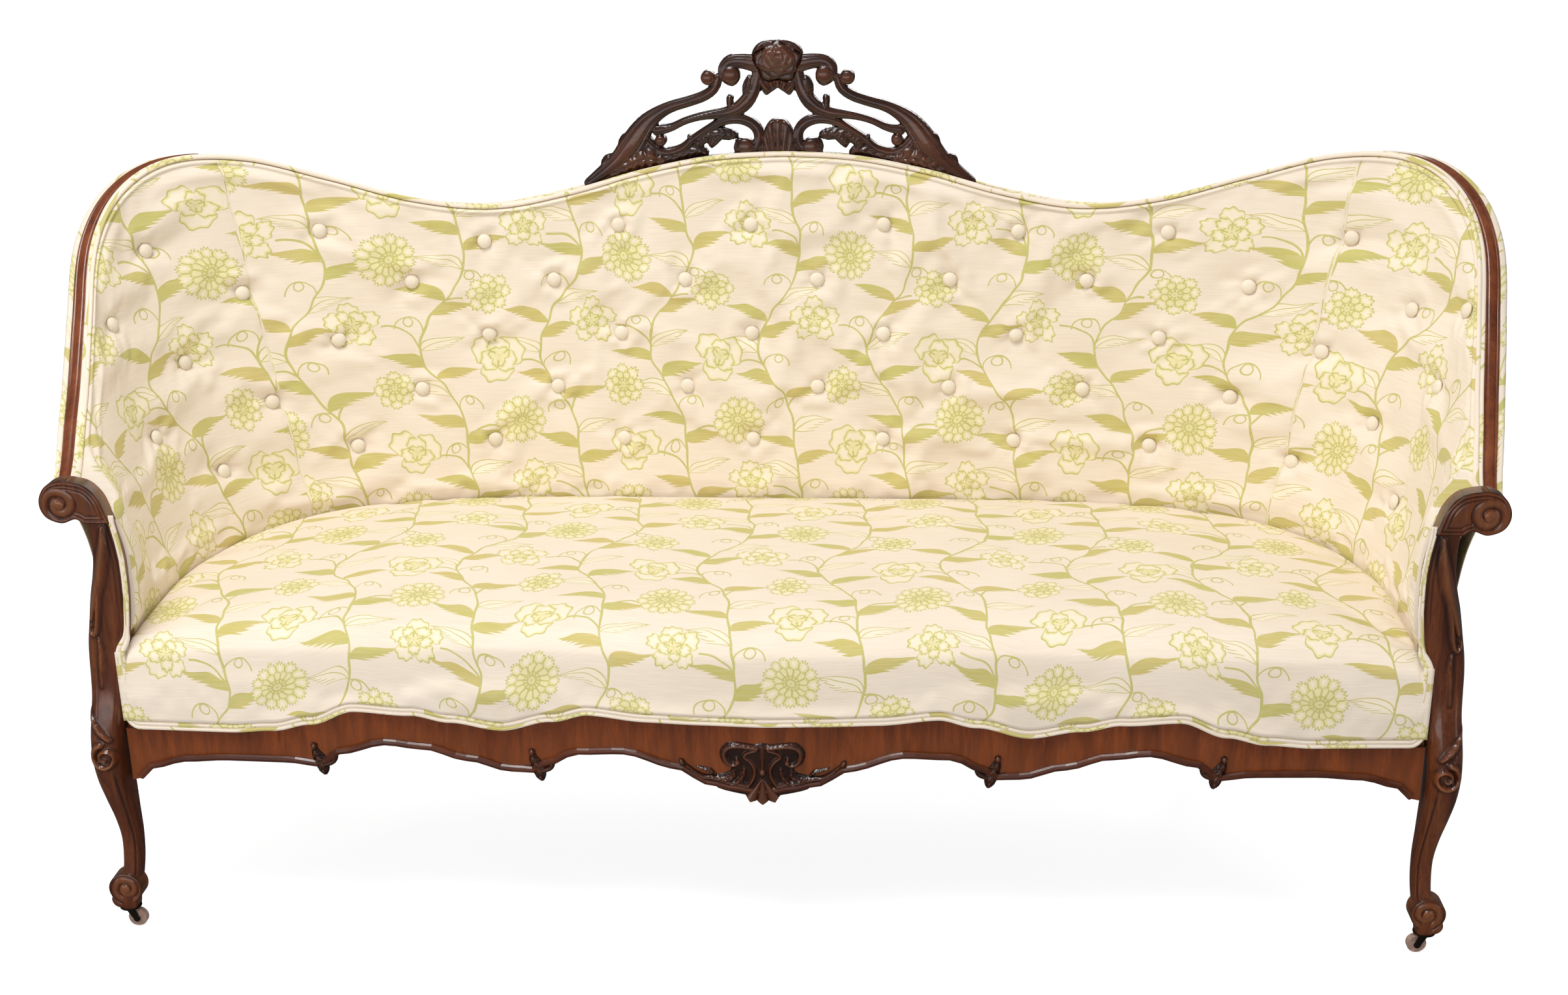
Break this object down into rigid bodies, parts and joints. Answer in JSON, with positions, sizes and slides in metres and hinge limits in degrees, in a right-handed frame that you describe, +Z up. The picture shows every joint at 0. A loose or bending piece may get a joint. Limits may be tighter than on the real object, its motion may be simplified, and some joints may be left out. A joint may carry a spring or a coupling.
{
  "type": "sofa",
  "caption": "Upholstered sofa with a serpentine curved back, scrolled arms, waved apron, pierced carved crest and cabriole legs on casters",
  "frame": {"origin": "centre of the bounding box in plan, on the floor", "axes": "+X to the viewer's right along the sofa, +Y towards its back, +Z up"},
  "size_m": [2.0026, 0.7043, 1.1284],
  "materials": {
    "mahogany": "polished",
    "carved_mahogany": "polished",
    "frame_beech": "sawn",
    "printed_linen": "woven",
    "stuffing": "matte",
    "jute": "woven",
    "black_cambric": "woven",
    "spring_steel": "plain",
    "iron": "japanned",
    "wheel": "turned"
  },
  "bodies": {
    "frame": {"front_post_left": "mahogany", "front_post_right": "mahogany", "arm_scroll_left": "mahogany", "arm_scroll_right": "mahogany", "front_rail": "mahogany", "apron_bead": "carved_mahogany", "apron_shell": "carved_mahogany", "apron_drops": "carved_mahogany", "side_rail_left": "frame_beech", "side_rail_right": "frame_beech", "back_rail": "frame_beech", "back_leg_left": "mahogany", "back_leg_right": "mahogany", "back_uprights": "frame_beech", "top_rail": "frame_beech", "wing_rail_left": "frame_beech", "wing_rail_right": "frame_beech", "wing_moulding_left": "mahogany", "wing_moulding_right": "mahogany", "crest": "carved_mahogany", "crest_dowels": "frame_beech", "rail_dowels": "frame_beech", "corner_blocks": "frame_beech", "corner_screws": "iron", "seat_webbing": "jute", "seat_springs": "spring_steel", "seat_hessian": "jute", "seat_pad": "stuffing", "seat_cover": "printed_linen", "seat_welt": "printed_linen", "back_hessian": "jute", "back_pad": "stuffing", "back_cover": "printed_linen", "back_welt": "printed_linen", "tufting_buttons": "printed_linen", "outside_back": "printed_linen", "outside_arm_left": "printed_linen", "outside_arm_right": "printed_linen", "dust_cover": "black_cambric", "caster_plate_fl": "iron", "caster_plate_fr": "iron", "caster_plate_bl": "iron", "caster_plate_br": "iron"},
    "swivel_fl": {"caster_horn_fl": "iron", "caster_axle_fl": "iron"},
    "wheel_fl": {"caster_wheel_fl": "wheel"},
    "swivel_fr": {"caster_horn_fr": "iron", "caster_axle_fr": "iron"},
    "wheel_fr": {"caster_wheel_fr": "wheel"},
    "swivel_bl": {"caster_horn_bl": "iron", "caster_axle_bl": "iron"},
    "wheel_bl": {"caster_wheel_bl": "wheel"},
    "swivel_br": {"caster_horn_br": "iron", "caster_axle_br": "iron"},
    "wheel_br": {"caster_wheel_br": "wheel"}
  },
  "joints": [
    {"name": "caster_swivel_front_left", "type": "hinge", "parent": "frame", "child": "swivel_fl", "pos_m": [-0.8823, -0.33778, 0.0312], "axis": [0, 0, 1], "continuous": true},
    {"name": "caster_roll_front_left", "type": "hinge", "parent": "swivel_fl", "child": "wheel_fl", "pos_m": [-0.8733, -0.33778, 0.013], "axis": [0, 1, 0], "continuous": true},
    {"name": "caster_swivel_front_right", "type": "hinge", "parent": "frame", "child": "swivel_fr", "pos_m": [0.8823, -0.33778, 0.0312], "axis": [0, 0, 1], "continuous": true},
    {"name": "caster_roll_front_right", "type": "hinge", "parent": "swivel_fr", "child": "wheel_fr", "pos_m": [0.8733, -0.33778, 0.013], "axis": [0, 1, 0], "continuous": true},
    {"name": "caster_swivel_back_left", "type": "hinge", "parent": "frame", "child": "swivel_bl", "pos_m": [-0.67754, 0.33578, 0.0312], "axis": [0, 0, 1], "continuous": true},
    {"name": "caster_roll_back_left", "type": "hinge", "parent": "swivel_bl", "child": "wheel_bl", "pos_m": [-0.66854, 0.33578, 0.013], "axis": [0, 1, 0], "continuous": true},
    {"name": "caster_swivel_back_right", "type": "hinge", "parent": "frame", "child": "swivel_br", "pos_m": [0.67754, 0.33578, 0.0312], "axis": [0, 0, 1], "continuous": true},
    {"name": "caster_roll_back_right", "type": "hinge", "parent": "swivel_br", "child": "wheel_br", "pos_m": [0.66854, 0.33578, 0.013], "axis": [0, 1, 0], "continuous": true}
  ]
}
